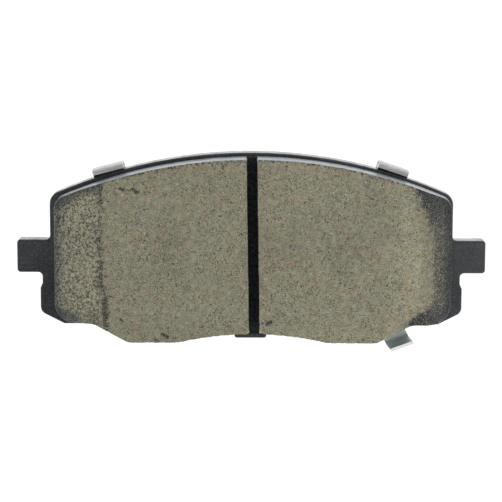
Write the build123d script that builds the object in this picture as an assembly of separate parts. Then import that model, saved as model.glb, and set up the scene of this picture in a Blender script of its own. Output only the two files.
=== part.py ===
from build123d import *
import os
from math import radians, sqrt, tan

# A disc brake pad as it hangs in its caliper bracket. X runs across the two ears, Z points
# outward from the disc's axle, and the friction face looks towards -Y. The origin is the centre
# of the back face, level with the middle of the ears. All sizes are in millimetres.

# ---- Layer thicknesses, from the back face forward ----
OUTER_SHIM = 0.5
RUBBER_LAYER = 0.15
SHIM_CORE = 0.3
SHIM_ADHESIVE = 0.1
PLATE = 6.0
BONDING_FILM = 0.1
UNDERLAYER = 2.0
FRICTION = 7.2

# ---- Outline shared by the plate, the lining and the shims ----
TOP_RADIUS = 145.0  # the plate's outer arc
TOP_CENTRE_Z = -113.73
TOP_CORNER_RADIUS = 3.7
LINING_MARGIN = 1.05  # the plate stands out round the lining by this much
LINING_HALF_WIDTH = 59.1
LINING_SHIFT = 0.5  # the lining sits a little off the plate's centre line
LINING_CORNER_RADIUS = 4.5
LINING_FOOT_RADIUS = 5.6
LINING_FLAT_Z, PLATE_FLAT_Z = -19.1, -20.6  # lower edges beside each foot corner
LOBE_Z = -24.55  # lining's lowest edge
LOBE_INNER_X = 36.87
LOBE_ANGLE = 28.4  # degrees, the slope between lobe and flat
LOBE_RADIUS = 5.0
ARCH_Z = -21.88  # crown of the shallow arch between the lobes
ARCH_RADIUS = 95.0
ARCH_BLEND = 14.0
FOOT_ANGLE = 27.0  # degrees, the plate's cut-off lower corners
FOOT_X, FOOT_Z = 60.0, -18.65  # a point of the cut

# ---- Backing plate ----
PLATE_UPPER_HALF = 60.2
PLATE_NECK_HALF = 62.6
PLATE_LOWER_HALF = 63.25
NECK_END_Z, LOWER_START_Z = -8.2, -9.7
EAR_TIP_X = 70.1
EAR_HALF_HEIGHT = 4.95
EAR_CORNER_RADIUS = 1.0
EAR_ROOT_RADIUS = 1.3
PLATE_FOOT_RADIUS = 2.5
PLATE_EDGE_RADIUS = 0.6
NUB_WIDTH, NUB_BOTTOM_Z, NUB_RADIUS = 9.6, -24.85, 0.7
NUB_X = -0.2
RETENTION_X, RETENTION_Z, RETENTION_RADIUS = 28.0, 4.0, 7.0
PLUG_RECESS = 0.3

# ---- Friction blocks ----
SLOT_WIDTH = 3.0
SLOT_X = 0.6
SLOT_LEAN = 0.93  # degrees; the slot's upper end leans to the left
LEFT_CHAMFER_RUN, RIGHT_CHAMFER_RUN = 13.9, 7.2
CHAMFER_DROP = 5.0

# ---- Shims ----
INNER_SHIM_INSET = 1.3  # from the plate's edge
OUTER_SHIM_INSET = 2.1
WINDOW_X, WINDOW_Z = 24.0, 3.0
WINDOW_WIDTH, WINDOW_LENGTH = 6.0, 21.0
TAB_X = 42.1
TAB_SHIFT = -0.3  # the tabs and their lands sit a little off the plate's centre line
TAB_TURNS = (-1, 14.5), (1, 18.6)  # side of the pad, and how far the tab is turned
TAB_WIDTH = 9.2
TAB_CLEARANCE = 0.12  # between the hook and its land
TAB_BEND_RADIUS = 0.4  # inside the bend
TAB_LIP_GAP = 0.3
TAB_LIP_Z = 0.6  # the lip ends this far above the plate's arc
TAB_LEG = 5.0
LAND_WIDTH = 9.2
LAND_HEIGHT = 1.5
LAND_CORNER_RADIUS = 0.5

# ---- Wear indicator ----
INDICATOR_TURN = 20.3  # degrees, from straight down towards +X
INDICATOR_X, INDICATOR_Z = 45.35, -26.7  # middle of its tip
LEG_SKEW = 6.0  # degrees more that the leg leans than its tip is turned
REACH_SKEW = 4.8  # degrees that the reach leans the same way as it goes back
INDICATOR_WIDTH = 7.1
INDICATOR_SHEET = 0.9
INDICATOR_BEND_RADIUS = 1.5  # inside the bend
INDICATOR_REACH = 2.5  # its tip stands this far in front of the plate
FOOT_WIDTH, FOOT_BOTTOM, FOOT_TOP = 13.0, 6.6, 13.6
FOOT_CORNER_RADIUS = 1.5
RIVET_SPACING, RIVET_HEIGHT = 7.4, 10.1
RIVET_RADIUS, RIVET_HEAD_RADIUS = 1.5, 2.3
RIVET_DEPTH = 4.0
INDICATOR_CLEARANCE = 0.8  # to the notch in the shims
NOTCH_CORNER_RADIUS = 2.0

# ---- Depths of the layers' back surfaces, measured forward from the back face ----
REAR_RUBBER_BACK = OUTER_SHIM
CORE_BACK = REAR_RUBBER_BACK + RUBBER_LAYER
FRONT_RUBBER_BACK = CORE_BACK + SHIM_CORE
ADHESIVE_BACK = FRONT_RUBBER_BACK + RUBBER_LAYER
PLATE_BACK = ADHESIVE_BACK + SHIM_ADHESIVE
PLATE_FRONT = PLATE_BACK + PLATE
UNDERLAYER_BACK = PLATE_FRONT + BONDING_FILM
FRICTION_BACK = UNDERLAYER_BACK + UNDERLAYER
FRICTION_FACE = FRICTION_BACK + FRICTION

# ---- The indicator's skewed strip, from its tip to its foot ----
INDICATOR_TIP_Y = -(PLATE_FRONT + INDICATOR_REACH)
LEG_TOP = FOOT_BOTTOM + FOOT_CORNER_RADIUS
REACH_LEAN = -(INDICATOR_TIP_Y + PLATE_BACK) * tan(radians(REACH_SKEW))
FOOT_LEAN = REACH_LEAN + LEG_TOP * tan(radians(LEG_SKEW))

ABOVE_ALL = 40.0  # clear of every outline
NEAR = 0.1  # how closely a corner or an edge is looked up


def slab(outline, back, thickness):
    """Thicken a flat outline (x, z), starting this far in front of the back face."""
    return extrude(Plane.XZ.offset(back) * outline, thickness)


def rounded(face, radius, *corners):
    """Round the corners at the given (x, z) points and at their mirror images."""
    for x, z in corners:
        at = [v for v in face.vertices() if abs(abs(v.X) - x) < NEAR and abs(v.Y - z) < NEAR]
        face = fillet(at, radius)
    return face


def arc_z(x, radius=TOP_RADIUS):
    """Height of an arc about the outline's centre at x."""
    return TOP_CENTRE_Z + sqrt(radius**2 - x**2)


def foot_cut(side):
    """The cut-off lower corner of the plate, from the side down to the flat."""
    slope = tan(radians(FOOT_ANGLE))
    flat_start = FOOT_X - (FOOT_Z - PLATE_FLAT_Z) / slope
    return [(side, FOOT_Z - (FOOT_X - side) * slope), (flat_start, PLATE_FLAT_Z)]


def lobe_points(lobe_z, flat_z):
    """Half of the lower edge, from the top of the lobe's outer slope to the centre."""
    run = (flat_z - lobe_z) / tan(radians(LOBE_ANGLE))
    return [(LOBE_INNER_X + run, flat_z), (LOBE_INNER_X, lobe_z), (0, lobe_z)]


def pad_outline(side_points, foot, margin, corner_radius, foot_radius):
    """Symmetric pad outline with its arc and lobes moved outward by margin."""
    lobe = lobe_points(LOBE_Z - margin, foot[-1][1])
    top_side = side_points[0][0]
    half = make_face(Polyline((0, ABOVE_ALL), *side_points, *foot, *lobe, close=True))
    radius = TOP_RADIUS - LINING_MARGIN + margin
    face = half + mirror(half, about=Plane.YZ)
    face &= Pos(0, TOP_CENTRE_Z) * Circle(radius)
    arch_z = ARCH_Z - margin
    face -= Pos(0, arch_z - ARCH_RADIUS) * Circle(ARCH_RADIUS)
    arch_end = sqrt(ARCH_RADIUS**2 - (ARCH_RADIUS + LOBE_Z - ARCH_Z) ** 2)
    face = rounded(face, corner_radius, (top_side, arc_z(top_side, radius)))
    face = rounded(face, foot_radius, foot[0])
    face = rounded(face, LOBE_RADIUS, *lobe[:2])
    return rounded(face, ARCH_BLEND, (arch_end, LOBE_Z - margin))


def lining_outline():
    """Outline of the lining, a little off the plate's centre."""
    face = pad_outline(
        [(LINING_HALF_WIDTH, ABOVE_ALL)],
        [(LINING_HALF_WIDTH, LINING_FLAT_Z)],
        0,
        LINING_CORNER_RADIUS,
        LINING_FOOT_RADIUS,
    )
    return Pos(LINING_SHIFT, 0) * face


def on_indicator(shape):
    """Place a shape drawn about the indicator's tip, with its leg straight up."""
    return Pos(INDICATOR_X, 0, INDICATOR_Z) * Rot(Y=-INDICATOR_TURN) * shape


def indicator_notch():
    """Room for the indicator's foot and leg in the shims, open at the lower edge."""
    width = FOOT_WIDTH + 2 * INDICATOR_CLEARANCE
    height = FOOT_TOP + INDICATOR_CLEARANCE
    notch = Box(width, 4 * PLATE_BACK, 2 * height)
    notch = fillet(notch.edges().filter_by(Axis.Y).group_by(Axis.Z)[-1], NOTCH_CORNER_RADIUS)
    return on_indicator(Pos(-FOOT_LEAN, 0, 0) * notch)


def shim_layer(inset, back, thickness):
    """One flat shim layer, notched for the wear indicator."""
    plate = pad_outline(
        [(PLATE_UPPER_HALF, ABOVE_ALL)],
        foot_cut(PLATE_UPPER_HALF),
        LINING_MARGIN,
        TOP_CORNER_RADIUS,
        PLATE_FOOT_RADIUS,
    )
    return slab(offset(plate, -inset), back, thickness) - indicator_notch()


def on_arc(side, turn, shape):
    """Place a shape drawn about a point of the plate's arc, turned to lie along it."""
    x = side * TAB_X + TAB_SHIFT
    return Pos(x, 0, arc_z(x)) * Rot(Y=side * turn) * shape


def land(side, turn):
    """Raised pad on the plate's upper edge, which a shim tab hooks over."""
    block = Box(LAND_WIDTH, PLATE, 2 * LAND_HEIGHT, align=(Align.CENTER, Align.MAX, Align.CENTER))
    block = fillet(block.edges().filter_by(Axis.Y).group_by(Axis.Z)[-1], LAND_CORNER_RADIUS)
    return on_arc(side, turn, Pos(0, -PLATE_BACK, 0) * block)


def bent_strip(sheet, width, bend_radius, *path):
    """Sheet metal of this thickness and width, bent along a path of (y, z) points."""
    middle = FilletPolyline(*path, radius=bend_radius + sheet / 2)
    return extrude(Plane.YZ * trace(middle, sheet), width / 2, both=True)


def hook_tab(side, turn):
    """Shim tab that rises behind the plate, bends forward over its land and ends in a lip."""
    half = OUTER_SHIM / 2
    top = LAND_HEIGHT + TAB_CLEARANCE + half
    front = PLATE_FRONT + TAB_LIP_GAP + half
    path = (-half, -TAB_LEG), (-half, top), (-front, top), (-front, TAB_LIP_Z)
    return on_arc(side, turn, bent_strip(OUTER_SHIM, TAB_WIDTH, TAB_BEND_RADIUS, *path))


def make_backing_plate():
    """Stamped steel plate with ears, a nub, shim lands and retention holes."""
    sides = [
        (PLATE_UPPER_HALF, ABOVE_ALL),
        (PLATE_UPPER_HALF, EAR_HALF_HEIGHT),
        (EAR_TIP_X, EAR_HALF_HEIGHT),
        (EAR_TIP_X, -EAR_HALF_HEIGHT),
        (PLATE_NECK_HALF, -EAR_HALF_HEIGHT),
        (PLATE_NECK_HALF, NECK_END_Z),
        (PLATE_LOWER_HALF, LOWER_START_Z),
    ]
    foot = foot_cut(PLATE_LOWER_HALF)
    face = pad_outline(sides, foot, LINING_MARGIN, TOP_CORNER_RADIUS, PLATE_FOOT_RADIUS)
    face = rounded(face, EAR_CORNER_RADIUS, sides[2], sides[3])
    face = rounded(face, EAR_ROOT_RADIUS, sides[1], sides[4])
    nub = RectangleRounded(NUB_WIDTH, ARCH_Z - NUB_BOTTOM_Z, NUB_RADIUS)
    face += Pos(NUB_X, (ARCH_Z + NUB_BOTTOM_Z) / 2) * nub
    plate = slab(face, PLATE_BACK, PLATE)
    rims = plate.edges().group_by(Axis.Y)
    plate = fillet(rims[0] + rims[-1], PLATE_EDGE_RADIUS)
    for side, turn in TAB_TURNS:
        plate += land(side, turn)
    for side in (-1, 1):
        hole = Pos(side * RETENTION_X, RETENTION_Z) * Circle(RETENTION_RADIUS)
        plate -= slab(hole, 0, 2 * PLATE_FRONT)
    return plate - rivet_shanks()


def make_bonding_film():
    """Adhesive under the lining, open over the retention holes."""
    face = lining_outline()
    for side in (-1, 1):
        face -= Pos(side * RETENTION_X, RETENTION_Z) * Circle(RETENTION_RADIUS)
    return slab(face, PLATE_FRONT, BONDING_FILM)


def make_underlayer():
    """Moulded layer under the friction blocks, with plugs that fill the retention holes."""
    layer = slab(lining_outline(), UNDERLAYER_BACK, UNDERLAYER)
    plug_back = PLATE_BACK + PLUG_RECESS
    for side in (-1, 1):
        plug = Pos(side * RETENTION_X, RETENTION_Z) * Circle(RETENTION_RADIUS)
        layer += slab(plug, plug_back, UNDERLAYER_BACK - plug_back)
    return layer


def chamfer_wedge(side, run):
    """Wedge that slopes one end of the friction face away from the disc."""
    end_x = LINING_SHIFT + side * LINING_HALF_WIDTH
    past = 1.0  # the wedge runs past the lining's end and its face
    steep = CHAMFER_DROP / run
    wedge = Polyline(
        (end_x - side * run, -FRICTION_FACE),
        (end_x + side * past, -FRICTION_FACE + CHAMFER_DROP + past * steep),
        (end_x + side * past, -FRICTION_FACE - past),
        (end_x - side * run, -FRICTION_FACE - past),
        close=True,
    )
    return extrude(make_face(wedge), ABOVE_ALL, both=True)


def make_friction_blocks():
    """The lining's two halves, parted by the slot and chamfered at their outer ends."""
    block = slab(lining_outline(), FRICTION_BACK, FRICTION)
    block -= chamfer_wedge(-1, LEFT_CHAMFER_RUN)
    block -= chamfer_wedge(1, RIGHT_CHAMFER_RUN)
    slot = Box(SLOT_WIDTH, 2 * FRICTION_FACE, 4 * ABOVE_ALL)
    block -= Pos(SLOT_X, 0, 0) * Rot(Y=-SLOT_LEAN) * slot
    left, right = block.solids().sort_by(Axis.X)
    return left, right


def make_outer_shim():
    """Steel shim with two windows and two tabs that hook over the plate."""
    shim = shim_layer(OUTER_SHIM_INSET, 0, OUTER_SHIM)
    for side in (-1, 1):
        window = SlotOverall(WINDOW_LENGTH, WINDOW_WIDTH, rotation=90)
        shim -= slab(Pos(side * WINDOW_X, WINDOW_Z) * window, 0, OUTER_SHIM)
    for side, turn in TAB_TURNS:
        shim += hook_tab(side, turn)
    return shim


def make_wear_indicator():
    """Spring-steel strip riveted behind the plate and bent forward under its lower edge."""
    middle_y = INDICATOR_SHEET / 2 - PLATE_BACK
    path = (middle_y, LEG_TOP), (middle_y, 0), (INDICATOR_TIP_Y, 0)
    wide = bent_strip(INDICATOR_SHEET, 3 * INDICATOR_WIDTH, INDICATOR_BEND_RADIUS, *path)
    skewed = Box(INDICATOR_WIDTH, 2 * ABOVE_ALL, 2 * ABOVE_ALL)
    skewed = Pos(0, INDICATOR_TIP_Y, 0) * Rot(Y=-LEG_SKEW, Z=REACH_SKEW) * skewed
    foot = RectangleRounded(FOOT_WIDTH, FOOT_TOP - FOOT_BOTTOM, FOOT_CORNER_RADIUS)
    foot = Pos(-FOOT_LEAN, (FOOT_TOP + FOOT_BOTTOM) / 2) * foot
    strip = (wide & skewed) + slab(foot, PLATE_BACK - INDICATOR_SHEET, INDICATOR_SHEET)
    return on_indicator(strip) - rivet_shanks()


def rivet_spots(radius):
    """Circles at the two rivets' places in the indicator's foot."""
    spots = [Pos(side * RIVET_SPACING / 2 - FOOT_LEAN, RIVET_HEIGHT) for side in (-1, 1)]
    return [spot * Circle(radius) for spot in spots]


def rivet_shanks():
    """The two rivets' shanks, through the indicator's foot and into the plate."""
    back = PLATE_BACK - INDICATOR_SHEET
    length = INDICATOR_SHEET + RIVET_DEPTH
    return on_indicator(Part() + [slab(s, back, length) for s in rivet_spots(RIVET_RADIUS)])


def make_rivets():
    """Two low-headed rivets whose heads end level with the back face."""
    head_height = PLATE_BACK - INDICATOR_SHEET
    heads = Part() + [slab(s, 0, head_height) for s in rivet_spots(RIVET_HEAD_RADIUS)]
    rims = heads.edges().group_by(Axis.Y)[-1]
    heads = chamfer(rims, head_height / 2)
    return rivet_shanks() + on_indicator(heads)


friction_left, friction_right = make_friction_blocks()
nodes = {
    "outer_shim": make_outer_shim(),
    "inner_shim_rear_rubber": shim_layer(INNER_SHIM_INSET, REAR_RUBBER_BACK, RUBBER_LAYER),
    "inner_shim_core": shim_layer(INNER_SHIM_INSET, CORE_BACK, SHIM_CORE),
    "inner_shim_front_rubber": shim_layer(INNER_SHIM_INSET, FRONT_RUBBER_BACK, RUBBER_LAYER),
    "shim_adhesive": shim_layer(INNER_SHIM_INSET, ADHESIVE_BACK, SHIM_ADHESIVE),
    "backing_plate": make_backing_plate(),
    "bonding_adhesive": make_bonding_film(),
    "underlayer": make_underlayer(),
    "friction_block_left": friction_left,
    "friction_block_right": friction_right,
    "wear_indicator": make_wear_indicator(),
    "wear_indicator_rivets": make_rivets(),
}
os.makedirs("parts", exist_ok=True)
for name, shape in nodes.items():
    export_step(shape, f"parts/{name}.step")
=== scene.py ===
from math import cos, pi, radians, sin

import bmesh
import bpy
import numpy as np
from mathutils import Matrix, Vector, noise


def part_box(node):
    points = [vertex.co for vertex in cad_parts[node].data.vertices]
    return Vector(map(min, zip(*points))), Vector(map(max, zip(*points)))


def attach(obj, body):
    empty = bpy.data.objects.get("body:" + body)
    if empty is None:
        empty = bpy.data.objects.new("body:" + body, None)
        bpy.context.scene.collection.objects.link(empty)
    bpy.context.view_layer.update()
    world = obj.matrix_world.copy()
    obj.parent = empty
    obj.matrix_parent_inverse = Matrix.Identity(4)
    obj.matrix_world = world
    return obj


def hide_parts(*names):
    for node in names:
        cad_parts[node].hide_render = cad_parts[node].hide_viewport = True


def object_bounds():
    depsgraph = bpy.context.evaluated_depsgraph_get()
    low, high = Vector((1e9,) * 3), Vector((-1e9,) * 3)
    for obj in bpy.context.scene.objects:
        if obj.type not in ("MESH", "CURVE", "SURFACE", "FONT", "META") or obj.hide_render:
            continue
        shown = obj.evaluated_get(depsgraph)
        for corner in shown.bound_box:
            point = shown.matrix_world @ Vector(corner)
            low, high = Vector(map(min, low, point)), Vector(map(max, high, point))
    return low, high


MM = 0.001

# ---- Camera, as the photograph sees the pad ----
CAMERA_ELEVATION, CAMERA_ROLL = 9.2, 0.19  # degrees
CAMERA_DISTANCE = 604 * MM
CAMERA_AIM = Vector((-0.09, -8.0, 1.85)) * MM
CAMERA_LENS, CAMERA_SENSOR = 145.0, 36.0  # millimetres
CAMERA_CLIP = 0.01, 100  # metres

# ---- Surroundings, in metres ----
FLOOR_DROP = 0.045  # below the pad
FLOOR_SIZE = 30.0
FLOOR_GLOW = 0.95
WORLD_STRENGTH = 0.5
SOFTBOXES = (  # name, place, the point it faces, width, height and radiance
    ("top", (0, 0.1, 1.4), (0, 0, 0), 1.6, 1.6, 1.0),
    ("behind", (0, 1.8, 0.45), (0, 0, 0.1), 3.6, 1.3, 1.2),
    ("left", (-1.6, 0.6, 0.4), (0, 0, 0), 1.2, 1.2, 2.0),
    ("right", (1.6, 0.6, 0.4), (0, 0, 0), 1.2, 1.2, 2.0),
    ("front_right", (1.3, -1.4, 0.7), (0, 0, 0), 1.0, 1.0, 1.6),
)

# ---- Plate, in millimetres ----
ARC_CENTRE, ARC_RADIUS = -113.73, 145.0  # height of the centre, and radius, of its top edge
TAB_MIDDLE, TAB_X, TAB_HALF = -0.3, 42.1, 5.0  # the hook tabs stand TAB_X to each side of TAB_MIDDLE
PAINTED_SHADE_FOOT = -23.9, -23.1  # heights between which the painted shade under the slot starts
PAINTED_SHADE_TOP = 5.0, 0.0  # and between which it ends, from the top
LOWER_GLOSS, UPPER_GLOSS = (0.19, 0.46), (0.33, 0.57)  # specular level at the left and right ends
GLOSS_ENDS, GLOSS_RISE = (-60, 60), (-9, 3)  # x of those ends, and heights from lower to upper gloss

# ---- Friction blocks, in millimetres ----
BLOCKS = "friction_block_left", "friction_block_right"
VOXEL, WELD, BACK_SKIN = 0.27, 0.001, 0.05  # of the finer copy: grid, weld distance, flat back
LEFT_CHAMFER, RIGHT_CHAMFER = 13.9, 7.2
TOP_FALL = 0.00345  # of the top edge, times the square of x
FOOT = -19.0, -14.0  # heights between which the face's foot ends
SLOT_HALF = 1.5
SLOT_BOTTOM, SLOT_TOP = (0.97, -21.9), (0.11, 30.2)
SLOT_LEAN = (SLOT_TOP[0] - SLOT_BOTTOM[0]) / (SLOT_TOP[1] - SLOT_BOTTOM[1])  # x per unit of height
BROKEN_ENDS = (  # slot end, way out of the slot, how far it broke to left and right, height and depth
    (SLOT_BOTTOM, -1, (1.1, 2.2), 1.9, 1.6),
    (SLOT_TOP, 1, (0.4, 0.35), 1.0, 2.0),
)
BREAK_START, BARE_START = (-12.0, -15.0), (-9.0, -12.0)  # y where they start to break and be bare
RIDGE_WANDER, RIDGE_SHIFT = 0.9, 1.3  # of the pitted line where the left chamfer starts
CLUMPS = (  # height, half height and strength of the thicker stretches of that line
    (-14.5, 3.0, 0.3),
    (-10.0, 9.0, 0.25),
)
GRAIN_DEPTH, CHAMFER_DEPTH, PIT_DEPTH, CHIP_DEPTH, TORN_RIM = 0.02, 0.05, 0.16, 0.22, 0.1
GRAIN_WARP, WARP_PER_MM = 0.9, 1.9  # how far, and how finely, the shader's grains are pushed about
SPRAY_FOOT, SPRAY_TOP = 8.0, 5.5  # how much further the right side's coating reaches at foot and top
GOUGES = (  # start (x, z), end (x, z) and half width of the face's larger pits
    ((-38.8, 21.6), (-37.8, 21.3), 0.36),
    ((-36.8, 21.2), (-35.8, 21.1), 0.15),
    ((-34.9, 21.3), (-33.4, 20.6), 0.54),
    ((4.5, -18.9), (5.1, -18.7), 0.34),
    ((5.0, -18.6), (5.7, -18.1), 0.56),
    ((-26.4, -21.8), (-24.8, -22.7), 0.42),
    ((-38.8, -17.5), (-38.0, -18.0), 0.22),
)

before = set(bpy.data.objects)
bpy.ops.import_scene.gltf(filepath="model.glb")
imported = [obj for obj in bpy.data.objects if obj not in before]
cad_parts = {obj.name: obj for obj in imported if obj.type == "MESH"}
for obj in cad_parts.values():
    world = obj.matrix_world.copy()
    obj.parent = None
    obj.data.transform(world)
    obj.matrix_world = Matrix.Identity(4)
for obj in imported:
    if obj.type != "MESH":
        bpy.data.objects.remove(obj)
cad_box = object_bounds()


# ---------------------------------------------------------------- node helpers
class Recipe:
    """A material under construction: its Principled shader and short calls for its nodes."""

    def __init__(self, name):
        self.material = bpy.data.materials.new(name)
        self.material.use_nodes = True
        self.tree = self.material.node_tree
        self.shader = self.tree.nodes["Principled BSDF"]
        self.place = self.scaled(self.add("ShaderNodeTexCoord").outputs["Object"], (1 / MM,) * 3)

    def add(self, kind, **settings):
        node = self.tree.nodes.new(kind)
        for name, value in settings.items():
            setattr(node, name, value)
        return node

    def feed(self, socket, value):
        if isinstance(value, bpy.types.NodeSocket):
            self.tree.links.new(value, socket)
        else:
            socket.default_value = value

    def put(self, **values):
        """Set or link sockets of the Principled shader, named with _ for each space."""
        for name, value in values.items():
            self.feed(self.shader.inputs[name.replace("_", " ")], value)

    def scaled(self, vector, factors):
        node = self.add("ShaderNodeVectorMath", operation="MULTIPLY")
        self.feed(node.inputs[0], vector)
        node.inputs[1].default_value = factors
        return node.outputs[0]

    def shifted(self, vector, distance):
        node = self.add("ShaderNodeVectorMath", operation="ADD")
        self.feed(node.inputs[0], vector)
        node.inputs[1].default_value = (distance,) * 3
        return node.outputs[0]

    def math(self, operation, a, b=0.0, clamp=False):
        node = self.add("ShaderNodeMath", operation=operation, use_clamp=clamp)
        self.feed(node.inputs[0], a)
        self.feed(node.inputs[1], b)
        return node.outputs[0]

    def ramp(self, value, low, high, start=0.0, end=1.0):
        """Smooth step of a value from low to high."""
        node = self.add("ShaderNodeMapRange", interpolation_type="SMOOTHSTEP")
        for socket, v in zip(node.inputs, (value, low, high, start, end)):
            self.feed(socket, v)
        return node.outputs[0]

    def noise(self, per_mm, detail=2.0, stretch=(1, 1, 1), rough=0.5, shift=0.0):
        """Smooth noise from 0 to 1. The shift tells one noise from another."""
        node = self.add("ShaderNodeTexNoise", noise_dimensions="3D")
        self.feed(node.inputs["Vector"], self.shifted(self.scaled(self.place, stretch), shift))
        node.inputs["Scale"].default_value = per_mm
        node.inputs["Detail"].default_value = detail
        node.inputs["Roughness"].default_value = rough
        return node.outputs["Fac"]

    def wobbly(self):
        """The place in millimetres, pushed about so that round grains come out uneven."""
        warp = self.add("ShaderNodeTexNoise")
        self.feed(warp.inputs["Vector"], self.place)
        warp.inputs["Scale"].default_value = WARP_PER_MM
        pushed = self.add("ShaderNodeVectorMath", operation="MULTIPLY_ADD")
        self.feed(pushed.inputs[0], warp.outputs["Color"])
        pushed.inputs[1].default_value = (GRAIN_WARP,) * 3
        self.feed(pushed.inputs[2], self.place)
        return pushed.outputs[0]

    def flecks(self, per_mm, share, radius, shift):
        """Mask of scattered grains: a share of the cells holds one, as wide as radius says."""
        cells = self.add("ShaderNodeTexVoronoi")
        self.feed(cells.inputs["Vector"], self.shifted(self.wobbly(), shift))
        cells.inputs["Scale"].default_value = per_mm
        random = self.add("ShaderNodeSeparateColor")
        self.feed(random.inputs[0], cells.outputs["Color"])
        chosen = self.math("LESS_THAN", random.outputs[0], share)
        body = self.ramp(cells.outputs["Distance"], radius, radius * 0.55)
        return self.math("MULTIPLY", chosen, body)

    def mix(self, share, first, second):
        """A colour between two others."""
        node = self.add("ShaderNodeMix", data_type="RGBA")
        self.feed(node.inputs["Factor"], share)
        colour = [s for s in node.inputs if s.type == "RGBA"]
        for socket, value in zip(colour, (first, second)):
            self.feed(socket, value if isinstance(value, bpy.types.NodeSocket) else (*value, 1))
        return next(s for s in node.outputs if s.type == "RGBA")

    def tint(self, base, value, low, high, strength, colour):
        """The base moved towards a colour, by up to strength, as a value goes from low to high."""
        return self.mix(self.ramp(value, low, high, 0, strength), base, colour)

    def blend_value(self, share, first, second):
        """A number between two others."""
        node = self.add("ShaderNodeMix", data_type="FLOAT")
        for socket, value in zip(node.inputs[:1] + node.inputs[2:4], (share, first, second)):
            self.feed(socket, value)
        return node.outputs[0]

    def attribute(self, name):
        return self.add("ShaderNodeAttribute", attribute_name=name).outputs["Fac"]

    def bump(self, height, depth_mm, strength):
        node = self.add("ShaderNodeBump")
        node.inputs["Strength"].default_value = strength
        node.inputs["Distance"].default_value = depth_mm * MM
        self.feed(node.inputs["Height"], height)
        self.put(Normal=node.outputs[0])

    def facing(self, axis):
        """How far the surface itself faces along an axis, from -1 to 1."""
        split = self.add("ShaderNodeSeparateXYZ")
        self.feed(split.inputs[0], self.add("ShaderNodeNewGeometry").outputs["True Normal"])
        return split.outputs[axis]

    def along(self, axis):
        """Position in millimetres along an axis."""
        split = self.add("ShaderNodeSeparateXYZ")
        self.feed(split.inputs[0], self.place)
        return split.outputs[axis]

    def edges(self, radius_mm):
        """Mask of sharp edges, from how far a rounded normal turns from the true one."""
        rounded = self.add("ShaderNodeBevel", samples=4)
        rounded.inputs["Radius"].default_value = radius_mm * MM
        true = self.add("ShaderNodeNewGeometry").outputs["True Normal"]
        dot = self.add("ShaderNodeVectorMath", operation="DOT_PRODUCT")
        self.feed(dot.inputs[0], rounded.outputs[0])
        self.feed(dot.inputs[1], true)
        return self.ramp(dot.outputs["Value"], 0.995, 0.8)


# ---------------------------------------------------------------- materials
def coat_colour(recipe):
    """Black cathodic coating with faint clouding and dust."""
    cloud = recipe.noise(0.12, detail=4)
    dust = recipe.noise(2.2, detail=3, rough=0.7, shift=11)
    base = recipe.mix(recipe.ramp(cloud, 0.35, 0.65), (0.010, 0.012, 0.015), (0.020, 0.023, 0.028))
    return recipe.tint(base, dust, 0.47, 0.68, 0.75, (0.065, 0.07, 0.076))


def side_colour(recipe, coating):
    """Coating on the lining's moulded sides, with a painted grey sheen where they face up, standing in
    for the light from above that they reflect.
    """
    cloud = recipe.noise(0.5, detail=4, stretch=(0.5, 1, 1), shift=15)
    painted_sheen = recipe.mix(recipe.ramp(cloud, 0.35, 0.65), (0.20, 0.217, 0.236), (0.31, 0.33, 0.352))
    # Painted sheen: lighter grey wherever the sides face up
    return recipe.mix(recipe.ramp(recipe.facing("Z"), 0.3, 0.9), coating, painted_sheen)


def compound_colour(recipe, fine, lumps):
    """Olive grey, with pale, dull, rusty, bluish and dark grains."""
    patches = recipe.noise(0.3, detail=4, rough=0.6, shift=1)
    clouds = recipe.noise(0.045, shift=2)
    blotches = recipe.noise(0.75, detail=3, rough=0.6, shift=12)
    rust = recipe.noise(0.8, detail=3, rough=0.6, shift=3)
    slate = recipe.noise(0.7, shift=17)
    crowd = recipe.math("MULTIPLY", recipe.math("SUBTRACT", patches, 0.5), 0.3)
    dips = recipe.math("ADD", lumps, crowd)  # fewer of them in the pale patches
    base = recipe.mix(recipe.ramp(fine, 0.33, 0.67), (0.106, 0.101, 0.056), (0.365, 0.355, 0.25))
    for value, start, full, strength, colour in (
        (patches, 0.48, 0.62, 0.35, (0.265, 0.256, 0.182)),
        (clouds, 0.5, 0.68, 0.3, (0.15, 0.147, 0.106)),
        (blotches, 0.52, 0.68, 0.5, (0.35, 0.337, 0.238)),
        (blotches, 0.48, 0.3, 0.5, (0.095, 0.095, 0.07)),
        (rust, 0.57, 0.69, 0.7, (0.32, 0.18, 0.11)),
        (slate, 0.58, 0.75, 0.5, (0.15, 0.175, 0.185)),
        (dips, 0.43, 0.32, 0.95, (0.037, 0.036, 0.022)),
    ):
        base = recipe.tint(base, value, start, full, strength, colour)
    for per_mm, share, radius, shift, strength, colour in (
        (2.2, 0.09, 0.50, 20, 0.95, (0.032, 0.030, 0.018)),
        (1.3, 0.02, 0.48, 21, 0.9, (0.03, 0.031, 0.026)),
        (1.1, 0.025, 0.55, 22, 0.55, (0.35, 0.155, 0.09)),
        (0.8, 0.04, 0.60, 24, 0.4, (0.16, 0.19, 0.22)),
        (1.7, 0.015, 0.50, 25, 0.7, (0.46, 0.45, 0.40)),
    ):
        grains = recipe.flecks(per_mm, share, radius, shift)
        base = recipe.mix(recipe.math("MULTIPLY", grains, strength), base, colour)
    return base


def crumbled(recipe, base):
    """Pale and dark crumbs where the compound is raw: the left chamfer and the slot's broken ends."""
    raw = recipe.attribute("raw")
    crust = recipe.noise(1.5, detail=5, rough=0.8, shift=13)
    pale = recipe.math("MULTIPLY", recipe.ramp(crust, 0.52, 0.6, 0, 0.8), raw)
    dark = recipe.math("MULTIPLY", recipe.ramp(crust, 0.49, 0.41, 0, 0.95), raw)
    base = recipe.mix(pale, base, (0.43, 0.41, 0.30))
    return recipe.mix(dark, base, (0.026, 0.03, 0.031))


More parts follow.
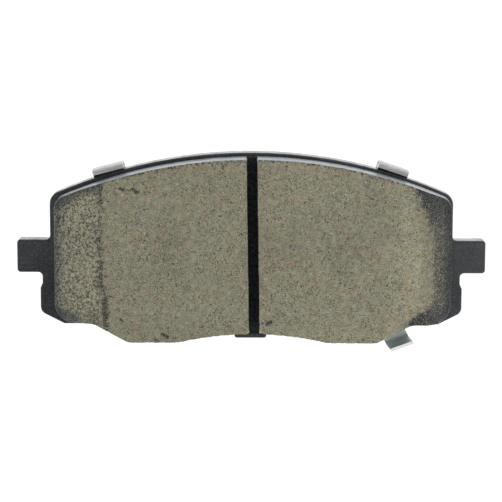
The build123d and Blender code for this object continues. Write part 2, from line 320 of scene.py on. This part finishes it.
def toned(recipe, base):
    """The base made brighter or darker by the surface's own tone."""
    node = recipe.add("ShaderNodeVectorMath", operation="SCALE")
    recipe.feed(node.inputs[0], base)
    recipe.feed(node.inputs["Scale"], recipe.attribute("tone"))
    return node.outputs[0]


def coated(recipe, base, coating):
    """The compound with dark pits, the coating's ragged limits, its haze and a painted highlight on its
    edges.
    """
    grit = recipe.noise(2.6, detail=3, rough=0.75, shift=31)
    speckle = recipe.ramp(grit, 0.4, 0.58, 1.7, 0.5)
    pit = recipe.math("MULTIPLY", recipe.attribute("pit"), speckle, clamp=True)
    base = recipe.mix(pit, base, (0.016, 0.018, 0.019))
    spread = recipe.math("ADD", recipe.math("MULTIPLY", grit, 1.5), -0.25)
    gap = recipe.math("SUBTRACT", recipe.attribute("coat"), spread)
    base = recipe.mix(recipe.ramp(gap, -0.16, 0.2), base, coating)
    thin = recipe.ramp(grit, 0.35, 0.65, 1.2, 0.6)
    haze = recipe.math("MULTIPLY", recipe.attribute("haze"), thin, clamp=True)
    base = recipe.mix(haze, base, (0.026, 0.033, 0.037))
    # Painted highlight: a pale line on the coated edges
    return recipe.mix(recipe.attribute("painted_highlight"), base, (0.27, 0.29, 0.31))


def friction_material():
    """Moulded friction compound, partly coated on its face and fully on its sides."""
    recipe = Recipe("friction compound")
    fine = recipe.noise(2.6, detail=3, rough=0.75, shift=5)
    lumps = recipe.noise(1.3, detail=4, rough=0.7, shift=8)
    coating = coat_colour(recipe)
    raw = crumbled(recipe, compound_colour(recipe, fine, lumps))
    face = coated(recipe, toned(recipe, raw), coating)
    wall = recipe.attribute("wall")
    recipe.put(Base_Color=recipe.mix(wall, face, side_colour(recipe, coating)))
    recipe.put(Roughness=recipe.blend_value(wall, 0.8, 0.4))
    height = recipe.math("ADD", fine, recipe.math("MULTIPLY", lumps, 0.8))
    recipe.bump(recipe.blend_value(wall, height, 0.5), 0.07, 0.7)
    return recipe.material


def slot_mask(recipe):
    """The leaning strip that lies under the slot."""
    lean = recipe.math("MULTIPLY", recipe.along("Z"), SLOT_LEAN)
    middle = SLOT_BOTTOM[0] - SLOT_BOTTOM[1] * SLOT_LEAN
    across = recipe.math("SUBTRACT", recipe.along("X"), lean)
    away = recipe.math("ABSOLUTE", recipe.math("SUBTRACT", across, middle))
    return recipe.ramp(away, SLOT_HALF + 0.3, SLOT_HALF - 0.1)


def under_tabs(recipe):
    """The plate's front just below the hook tabs, where their lips keep it in shadow."""
    from_middle = recipe.math("ABSOLUTE", recipe.math("ADD", recipe.along("X"), -TAB_MIDDLE))
    from_tab = recipe.math("ABSOLUTE", recipe.math("SUBTRACT", from_middle, TAB_X))
    arm = recipe.add("ShaderNodeVectorMath", operation="SUBTRACT")
    recipe.feed(arm.inputs[0], recipe.scaled(recipe.place, (1, 0, 1)))
    arm.inputs[1].default_value = (0, 0, ARC_CENTRE)
    radius = recipe.add("ShaderNodeVectorMath", operation="LENGTH")
    recipe.feed(radius.inputs[0], arm.outputs[0])
    above = recipe.ramp(radius.outputs["Value"], ARC_RADIUS - 0.2, ARC_RADIUS + 0.2)
    return recipe.math("MULTIPLY", recipe.ramp(from_tab, TAB_HALF + 0.2, TAB_HALF - 0.2), above)


def painted_shade_mask(recipe):
    """Painted shade on the plate's front: in the slot's lower half and under the tabs."""
    height = recipe.along("Z")
    painted_shade = recipe.math("MULTIPLY", slot_mask(recipe), recipe.ramp(height, *PAINTED_SHADE_FOOT))
    painted_shade = recipe.math("MULTIPLY", painted_shade, recipe.ramp(height, *PAINTED_SHADE_TOP))
    painted_shade = recipe.math("MAXIMUM", painted_shade, under_tabs(recipe))
    return recipe.math("MULTIPLY", painted_shade, recipe.ramp(recipe.facing("Y"), -0.5, -0.9))


def paint_gloss(recipe):
    """Specular level of the coating, lower at the pad's left end and below its middle: painted shade,
    standing in for the dimmer light reflected there.
    """
    across = recipe.along("X")
    lower = recipe.ramp(across, *GLOSS_ENDS, *LOWER_GLOSS)
    upper = recipe.ramp(across, *GLOSS_ENDS, *UPPER_GLOSS)
    return recipe.blend_value(recipe.ramp(recipe.along("Z"), *GLOSS_RISE), lower, upper)


def paint_material():
    """Satin black coating of the steel plate, with orange peel and lightly rubbed edges."""
    recipe = Recipe("plate coating")
    rubbed = recipe.ramp(recipe.noise(0.9, 4, shift=2), 0.45, 0.7)
    worn = recipe.math("MULTIPLY", recipe.edges(0.35), rubbed)
    base = recipe.mix(recipe.math("MULTIPLY", worn, 0.35), coat_colour(recipe), (0.16, 0.165, 0.17))
    # Painted shade: the coating is darkened and dulled in the slot's lower half and under the tabs
    painted_shade = painted_shade_mask(recipe)
    recipe.put(Base_Color=recipe.mix(painted_shade, base, (0.006, 0.007, 0.007)))
    recipe.put(Specular_IOR_Level=recipe.blend_value(painted_shade, paint_gloss(recipe), 0.12))
    recipe.put(Roughness=recipe.ramp(recipe.noise(0.35, 4, shift=7), 0.3, 0.7, 0.24, 0.36))
    recipe.bump(recipe.noise(2.0, 3, shift=9), 0.05, 0.3)
    return recipe.material


def underlayer_material():
    """Moulded underlayer: glossy coating round its rim, dull and dark with painted shade at the bottom
    of the slot.
    """
    recipe = Recipe("underlayer compound")
    grains = recipe.flecks(1.8, 0.2, 0.4, 41)
    side = side_colour(recipe, coat_colour(recipe))
    rim = recipe.mix(recipe.math("MULTIPLY", grains, 0.3), side, (0.06, 0.06, 0.057))
    # Painted shade: the rim goes near black where it lies under the slot
    rim = recipe.mix(slot_mask(recipe), rim, (0.01, 0.009, 0.008))
    # Painted shade on the face seen at the bottom of the slot, mottled from darker to lighter
    painted_shade = recipe.noise(1.1, detail=4, rough=0.7, shift=44)
    floor = recipe.mix(recipe.ramp(painted_shade, 0.4, 0.62), (0.016, 0.019, 0.021), (0.04, 0.046, 0.05))
    face = recipe.ramp(recipe.facing("Y"), -0.7, -0.95)
    recipe.put(Base_Color=recipe.mix(face, rim, floor))
    recipe.put(Roughness=recipe.blend_value(face, 0.4, 0.9))
    recipe.put(Specular_IOR_Level=recipe.blend_value(face, 0.5, 0.1))
    recipe.bump(recipe.noise(2.2, 3, shift=43), 0.02, 0.25)
    return recipe.material


def resin_material():
    """Dark bonding resin."""
    recipe = Recipe("bonding resin")
    base = recipe.mix(recipe.noise(1.5, 3), (0.018, 0.014, 0.010), (0.05, 0.038, 0.026))
    recipe.put(Base_Color=base)
    recipe.put(Roughness=recipe.ramp(recipe.noise(3.0, 2, shift=4), 0.3, 0.7, 0.3, 0.5))
    recipe.bump(recipe.noise(3.0, 2, shift=5), 0.02, 0.4)
    return recipe.material


def adhesive_film_material():
    """Pale pressure-sensitive film."""
    recipe = Recipe("shim adhesive film")
    base = recipe.mix(recipe.noise(0.8, 3), (0.20, 0.19, 0.17), (0.32, 0.31, 0.28))
    recipe.put(Base_Color=base)
    recipe.put(Roughness=recipe.ramp(recipe.noise(2.0, 2, shift=4), 0.3, 0.7, 0.4, 0.6))
    return recipe.material


def rubber_material():
    """Black nitrile rubber coat with a fine matt grain."""
    recipe = Recipe("shim rubber")
    dust = recipe.ramp(recipe.noise(0.6, 5, rough=0.65), 0.5, 0.8, 0, 0.5)
    recipe.put(Base_Color=recipe.mix(dust, (0.014, 0.014, 0.015), (0.05, 0.049, 0.047)))
    recipe.put(Roughness=recipe.ramp(recipe.noise(4.0, 2, shift=4), 0.3, 0.7, 0.55, 0.8))
    recipe.bump(recipe.noise(7.0, 2, shift=6), 0.02, 0.5)
    return recipe.material


def rolled_steel(name, dark, light, rough_low, rough_high, streak=(0.02, 0.3, 1)):
    """Cold-rolled steel: streaks along X, faint clouding and small scuffs."""
    recipe = Recipe(name)
    streaks = recipe.noise(2.2, 3, stretch=streak, rough=0.6)
    clouds = recipe.noise(0.18, 4, shift=3)
    scuffs = recipe.ramp(recipe.noise(1.4, 5, stretch=(1, 1, 0.12), rough=0.7, shift=8), 0.64, 0.75)
    base = recipe.mix(recipe.ramp(streaks, 0.3, 0.7), dark, light)
    base = recipe.tint(base, clouds, 0.4, 0.8, 0.35, dark)
    base = recipe.mix(recipe.math("MULTIPLY", scuffs, 0.4), base, light)
    recipe.put(Base_Color=base, Metallic=1.0)
    recipe.put(Roughness=recipe.ramp(streaks, 0.25, 0.75, rough_low, rough_high))
    recipe.bump(streaks, 0.01, 0.35)
    return recipe


def shim_material():
    """The outer shim's dull brushed steel."""
    return rolled_steel("shim steel", (0.38, 0.38, 0.38), (0.62, 0.62, 0.61), 0.45, 0.6).material


def core_material():
    """The darker steel between the inner shim's rubber layers."""
    return rolled_steel("shim core steel", (0.25, 0.25, 0.26), (0.42, 0.42, 0.43), 0.35, 0.5).material


def indicator_material():
    """Phosphated spring steel, green-grey and mostly matt, with bright sheared ends."""
    recipe = rolled_steel("indicator steel", (0.53, 0.62, 0.575), (0.67, 0.75, 0.71), 0.4, 0.55)
    forward = recipe.ramp(recipe.facing("Y"), -0.8, -0.95)
    cut = recipe.math("MULTIPLY", forward, recipe.ramp(recipe.along("Y"), -8.5, -9.2))
    colour = recipe.shader.inputs["Base Color"].links[0].from_socket
    recipe.put(Base_Color=recipe.mix(cut, colour, (0.8, 0.82, 0.81)))
    recipe.put(Metallic=recipe.blend_value(cut, 0.35, 1.0))
    return recipe.material


def rivet_material():
    """Rivet heads, without the rolled sheet's streaks."""
    steel = rolled_steel("rivet steel", (0.30, 0.30, 0.29), (0.55, 0.55, 0.53), 0.3, 0.5, (1, 1, 1))
    return steel.material


# ---------------------------------------------------------------- numbers
def step(value, low, high):
    """Smooth step of numbers or arrays from low to high."""
    t = np.clip((value - low) / (high - low), 0, 1)
    return t * t * (3 - 2 * t)


def fade(value, low, high):
    """Smooth step down, from low to high."""
    return 1 - step(value, low, high)


def bell(value, middle, half):
    """A smooth hump of height 1 round the middle."""
    return np.exp(-(((value - middle) / half) ** 2))


def field(points, per_mm, seed):
    """Noise between about -1 and 1 at each point."""
    shift = Vector((seed * 17.3, seed * -9.1, seed * 5.7))
    return np.array([noise.noise(Vector(p) * per_mm + shift) for p in points])


# ---------------------------------------------------------------- meshes
def remeshed(node, name):
    """A dense even copy of a CAD node's surface."""
    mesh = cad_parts[node].data.copy()
    work = bmesh.new()
    work.from_mesh(mesh)
    bmesh.ops.remove_doubles(work, verts=work.verts, dist=WELD * MM)
    work.to_mesh(mesh)
    work.free()
    mesh.materials.clear()
    rough = bpy.data.objects.new(name + "_rough", mesh)
    bpy.context.scene.collection.objects.link(rough)
    voxels = rough.modifiers.new("voxels", "REMESH")
    voxels.mode = "VOXEL"
    voxels.voxel_size = VOXEL * MM
    graph = bpy.context.evaluated_depsgraph_get()
    dense = bpy.data.meshes.new_from_object(rough.evaluated_get(graph))
    bpy.data.objects.remove(rough)
    piece = bpy.data.objects.new(name, dense)
    bpy.context.scene.collection.objects.link(piece)
    return piece


def numbers(source, attribute):
    """An attribute of three numbers from each item of a mesh's collection."""
    out = np.empty(len(source) * 3, np.float32)
    source.foreach_get(attribute, out)
    return out.reshape(-1, 3).astype(float)


def write_value(mesh, name, values):
    """Store a number for each vertex, for the shader to read."""
    layer = mesh.attributes.new(name, "FLOAT", "POINT")
    layer.data.foreach_set("value", values.astype(np.float32))


def flatten_back(piece, back):
    """Merge the dense flat back into one face."""
    work = bmesh.new()
    work.from_mesh(piece.data)
    flat = [f for f in work.faces if all(v.co.y > back for v in f.verts)]
    bmesh.ops.dissolve_faces(work, faces=flat, use_verts=True)
    work.to_mesh(piece.data)
    work.free()


class Skin:
    """A friction block's dense surface, in millimetres, and the masks that its details share."""

    def __init__(self, node, mesh):
        self.low, self.high = (Vector(corner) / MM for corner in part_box(node))
        boxes = [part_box(name) for name in BLOCKS]
        self.at = numbers(mesh.vertices, "co") / MM
        self.facing = numbers(mesh.vertex_normals, "vector")
        self.x, self.y, self.z = self.at.T.copy()  # stays as the CAD has it, while at is worked on
        self.left = min(box[0].x for box in boxes) / MM
        self.right = max(box[1].x for box in boxes) / MM
        self.from_left = self.x - self.left
        self.from_right = self.x - self.right
        self.coarse = field(self.at, per_mm=0.7, seed=1)
        self.medium = field(self.at, per_mm=1.7, seed=2)
        self.small = field(self.at, per_mm=3.3, seed=3)
        self.grit = self.medium + 0.6 * self.small

        # How far each point belongs to the face, the flat back, the walls and the edges between
        forward = -self.facing[:, 1]
        self.front = step(forward, 0.6, 0.95)
        self.back = step(-forward, 0.6, 0.9)
        self.wall = fade(np.abs(forward), 0.3, 0.7)
        self.edge = np.clip(1 - self.front - self.wall - self.back, 0, 1) * step(forward, 0.1, 0.4)

        # Where each point is on the lining, and the x at its height where the right end's coating starts
        slope_start = self.left + LEFT_CHAMFER
        self.left_slope = fade(self.x, slope_start - 0.6, slope_start + 0.4)
        self.foot = fade(self.z, *FOOT)
        self.rim_height = self.z + TOP_FALL * self.x**2
        self.top_edge = step(self.rim_height, 26.0, 30.0)
        self.foot_corner = fade(self.from_left, 3.0, 9.0) * fade(self.z, -18.5, -13.5)
        spray_start = self.right - RIGHT_CHAMFER - 0.5 - SPRAY_FOOT * step(self.z, -11.0, -20.5)
        self.spray_start = spray_start - SPRAY_TOP * step(self.z, 6.0, 24.0)


def break_slot_end(skin, end, outward, widths, height, depth):
    """Break the face's corners beside one end of the slot, and return how broken each point is."""
    x, y, z = skin.at.T.copy()
    bite = 1 + 0.35 * skin.medium
    aside = x - end[0]
    wide = np.where(aside < 0, *widths) * bite
    inward = (end[1] - z) * outward
    reach = 1 - (np.abs(aside) - SLOT_HALF) / wide - inward / (height * bite)
    broken = step(reach, 0, 0.5)
    y += depth * broken * step(y, *BREAK_START)
    skin.at[:, 1] = y
    return broken * step(y, *BARE_START)


def gouge(x, z, start, end, width):
    """Mask of one short scratch-like pit between two points of the face."""
    ax, az = start
    dx, dz = end[0] - ax, end[1] - az
    along = np.clip(((x - ax) * dx + (z - az) * dz) / (dx * dx + dz * dz), 0, 1)
    away = np.hypot(x - ax - along * dx, z - az - along * dz)
    return fade(away, width * 0.5, width)


def ridge_mask(skin):
    """The crumbling line where the left chamfer meets the face."""
    wander = RIDGE_WANDER * field(skin.at * (0, 0, 1), per_mm=0.13, seed=5)
    middle = skin.left + LEFT_CHAMFER + wander + 0.2
    middle = middle + RIDGE_SHIFT * step(skin.z, -3.0, -13.0) + 0.35 * skin.medium
    clumps = 0.3 * step(skin.z, 15.0, 21.0)
    for height, half, strength in CLUMPS:
        clumps += strength * bell(skin.z, height, half)
    width = 0.5 + 0.5 * step(skin.coarse + clumps, -0.1, 0.5)
    mottle = 0.4 * skin.coarse + 0.7 * skin.medium + 0.8 * skin.small
    return bell(skin.x, middle, width) * step(mottle + clumps, -0.15, 0.25)


def pit_mask(skin, chips):
    """Everything that is dug into the compound: pores, ridge, gouges, top nicks and chipped edges."""
    pits = 0.6 * step(skin.medium, 0.45, 0.65) + 0.7 * step(skin.coarse + 0.3 * skin.small, 0.6, 0.72)
    pits *= skin.front * (0.3 + 0.7 * skin.left_slope + 0.3 * skin.foot)
    pits = np.maximum(pits, ridge_mask(skin) * skin.front)
    ragged = 1.25 + 0.9 * skin.small + 0.4 * skin.medium
    torn = 0.6 + 0.4 * step(skin.small + 0.5 * skin.medium, -0.45, 0.0)
    for start, end, width in GOUGES:
        pits = np.maximum(pits, gouge(skin.x, skin.z, start, end, width * ragged) * skin.front * torn)
    nicks = step(skin.rim_height, 29.1, 29.8) * (1 - skin.wall) * step(skin.grit, 0.05, 0.35)
    pits = np.clip(np.maximum(pits, nicks), 0, 1)
    return np.maximum(pits, chips * step(skin.z, -10.0, 5.0))


def press_in(skin, pits, chips):
    """Sink the grain, pits and chips, and tear the lower rim, without leaving the CAD's own box."""
    depth = GRAIN_DEPTH * skin.small + CHAMFER_DEPTH * skin.medium * skin.left_slope
    depth += PIT_DEPTH * pits + CHIP_DEPTH * chips * (1 + step(skin.z, -20.0, -23.0))
    depth = np.where(skin.back > 0.05, 0, depth * (1 - 0.85 * skin.wall))
    skin.at -= skin.facing * np.maximum(depth, -GRAIN_DEPTH / 2)[:, None]
    under = step(-skin.facing[:, 2], 0.2, 0.5) * fade(skin.z, -21.0, -19.5) * fade(skin.y, -13.5, -11.0)
    tear = step(field(skin.at * (1, 0, 0), per_mm=1.3, seed=9), -0.1, 0.45)
    skin.at[:, 2] += TORN_RIM * under * tear
    np.clip(skin.at, np.array(skin.low), np.array(skin.high), out=skin.at)


def coat_mask(skin, broken):
    """Where the plate's coating runs onto the compound: right end, left rim, top edge and sides."""
    z = skin.z
    reach = skin.x + skin.coarse + 0.7 * skin.medium
    spray = step(reach, skin.spray_start - 1.6, skin.spray_start + 3.4)
    corner = 0.15 * step(skin.from_right, -3.5, 0) + 0.12 * step(z, 6.0, 19.0)
    coat = spray * (0.57 + corner + 0.1 * step(z, -12.0, -17.0))
    rim = fade(skin.from_left, 0.3, 3.8)
    worn = 0.15 + 0.38 * rim + 0.42 * skin.top_edge + 0.25 * rim * skin.foot + 0.25 * skin.foot_corner
    coat = np.maximum(coat, skin.left_slope * worn)
    coat = np.maximum(coat, np.maximum(skin.wall, (1 - skin.front) * (1 - skin.back) * 0.6))
    return np.clip(coat + (0.2 - coat) * broken, 0, 1)


def haze_mask(skin):
    """The coating's thin overspray on the left chamfer, thickest at its rim and corners."""
    rim = fade(skin.from_left, 0.5, 6.0)
    top_corner = fade(skin.from_left, 2.0, 9.0) * step(skin.rim_height, 23.0, 29.0)
    haze = 0.3 * rim * (1 + skin.foot) + 1.1 * skin.foot_corner + 0.3 * skin.foot
    haze += 0.7 * skin.top_edge + 0.6 * top_corner
    return skin.left_slope * skin.front * np.clip(haze, 0, 0.78)


def tone_factor(skin, broken):
    """Brightness of the compound: burnished on the right, brighter where broken (fresh compound, with
    painted light on chips that lie in the slot's shade), a dull cloud.
    """
    x = skin.x
    burnished = step(x, 37.0, 49.0) * fade(x, skin.spray_start - 3, skin.spray_start + 1) * skin.front
    cloud = bell(x, -24.0, 4.5) * bell(skin.z, 4.0, 10.0)
    tone = 1 + 0.26 * burnished - 0.16 * cloud + 0.06 * step(x, -5.0, 15.0)
    # Brighter where broken: partly the fresh compound's paler colour, partly painted light on chips that
    # lie in the slot's shade
    tone += 0.8 * np.clip(broken, 0, 1)
    return tone + skin.foot * (0.05 * step(x, 5.0, 20.0) - 0.06 * fade(x, -20.0, -5.0))


def painted_highlight_mask(skin):
    """Painted highlight: a pale line along the coated edges, near both ends of the lining."""
    low = 0.45 * fade(skin.z, -14.0, -11.0)
    left = fade(skin.from_left, 3.0, 6.0) * (0.7 * step(skin.z, -6.0, 12.0) + low)
    right = 0.8 * low * step(skin.from_right, -6.0, -3.0)
    right += 0.45 * step(skin.from_right, -4.5, -2.5) * step(skin.z, 8.0, 16.0)
    return skin.edge * left + step(skin.edge, 0.4, 0.6) * right


def friction_piece(node):
    """A friction block with its grain, pits, ragged edges and coating limits."""
    piece = remeshed(node, node.replace("block", "pad"))
    mesh = piece.data
    skin = Skin(node, mesh)
    chips = skin.edge * step(skin.grit, -0.1, 0.6)
    pits = pit_mask(skin, chips)
    press_in(skin, pits, chips)
    broken = sum(break_slot_end(skin, *end) for end in BROKEN_ENDS)
    write_value(mesh, "pit", pits)
    write_value(mesh, "coat", coat_mask(skin, broken))
    write_value(mesh, "tone", tone_factor(skin, broken))
    write_value(mesh, "haze", haze_mask(skin))
    write_value(mesh, "raw", np.maximum(skin.left_slope * skin.front, broken))
    write_value(mesh, "wall", skin.wall * (1 - broken))
    write_value(mesh, "painted_highlight", painted_highlight_mask(skin))
    mesh.vertices.foreach_set("co", (skin.at * MM).astype(np.float32).ravel())
    mesh.shade_smooth()
    flatten_back(piece, (skin.high.y - BACK_SKIN) * MM)
    return piece


# ---------------------------------------------------------------- surroundings
def floor_material():
    """A pale ground that shines by itself, so that it stays white in the picture."""
    recipe = Recipe("pale floor")
    base = recipe.mix(recipe.noise(0.004, 3), (0.11, 0.11, 0.11), (0.13, 0.13, 0.13))
    recipe.put(Base_Color=base, Roughness=0.9, Specular_IOR_Level=0.1)
    recipe.put(Emission_Color=(1, 1, 1, 1), Emission_Strength=FLOOR_GLOW)
    return recipe.material


def make_floor():
    """One large square below the pad."""
    mesh = bpy.data.meshes.new("floor")
    half = FLOOR_SIZE / 2
    height = cad_box[0][2] - FLOOR_DROP
    corners = [(sx * half, sy * half, height) for sx, sy in ((-1, -1), (1, -1), (1, 1), (-1, 1))]
    mesh.from_pydata(corners, [], [(0, 1, 2, 3)])
    mesh.materials.append(floor_material())
    floor = bpy.data.objects.new("floor", mesh)
    bpy.context.scene.collection.objects.link(floor)


def soft_light(name, place, aim, width, height, radiance):
    """A rectangular softbox of even brightness."""
    data = bpy.data.lights.new(name, "AREA")
    data.shape = "RECTANGLE"
    data.size, data.size_y = width, height
    data.energy = radiance * pi * width * height
    light = bpy.data.objects.new(name, data)
    light.location = place
    light.rotation_euler = (Vector(aim) - Vector(place)).to_track_quat("-Z", "Y").to_euler()
    light.visible_camera = False
    bpy.context.scene.collection.objects.link(light)


def make_lights():
    """Softboxes above, behind and beside the pad, and an even white world."""
    for softbox in SOFTBOXES:
        soft_light(*softbox)
    world = bpy.data.worlds.new("studio")
    world.use_nodes = True
    background = world.node_tree.nodes["Background"]
    background.inputs["Color"].default_value = (1, 1, 1, 1)
    background.inputs["Strength"].default_value = WORLD_STRENGTH
    bpy.context.scene.world = world
    bpy.context.scene.view_settings.view_transform = "Standard"


def make_camera():
    """The photograph's view: from the friction side, a little above, with a slight roll."""
    data = bpy.data.cameras.new("camera")
    data.lens, data.sensor_width = CAMERA_LENS, CAMERA_SENSOR
    data.clip_start, data.clip_end = CAMERA_CLIP
    camera = bpy.data.objects.new("camera", data)
    tilt, roll = radians(CAMERA_ELEVATION), radians(CAMERA_ROLL)
    back = Vector((0, -cos(tilt), sin(tilt)))
    right = Vector((1, 0, 0))
    up = back.cross(right)
    turned_right = cos(roll) * right + sin(roll) * up
    turned_up = back.cross(turned_right)
    place = Matrix((turned_right, turned_up, back)).transposed().to_4x4()
    place.translation = CAMERA_AIM + back * CAMERA_DISTANCE
    camera.matrix_world = place
    bpy.context.scene.collection.objects.link(camera)
    bpy.context.scene.camera = camera


# ---------------------------------------------------------------- assembly
def dress(node, material):
    """Give a CAD node one material all over."""
    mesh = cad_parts[node].data
    mesh.materials.clear()
    mesh.materials.append(material)


make_camera()
make_lights()
make_floor()
rubber = rubber_material()
dress("backing_plate", paint_material())
dress("bonding_adhesive", resin_material())
dress("underlayer", underlayer_material())
dress("shim_adhesive", adhesive_film_material())
dress("inner_shim_front_rubber", rubber)
dress("inner_shim_rear_rubber", rubber)
dress("inner_shim_core", core_material())
dress("outer_shim", shim_material())
dress("wear_indicator", indicator_material())
dress("wear_indicator_rivets", rivet_material())
compound = friction_material()
for block in BLOCKS:
    pad = friction_piece(block)
    pad.data.materials.append(compound)
    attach(pad, "root")
    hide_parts(block)
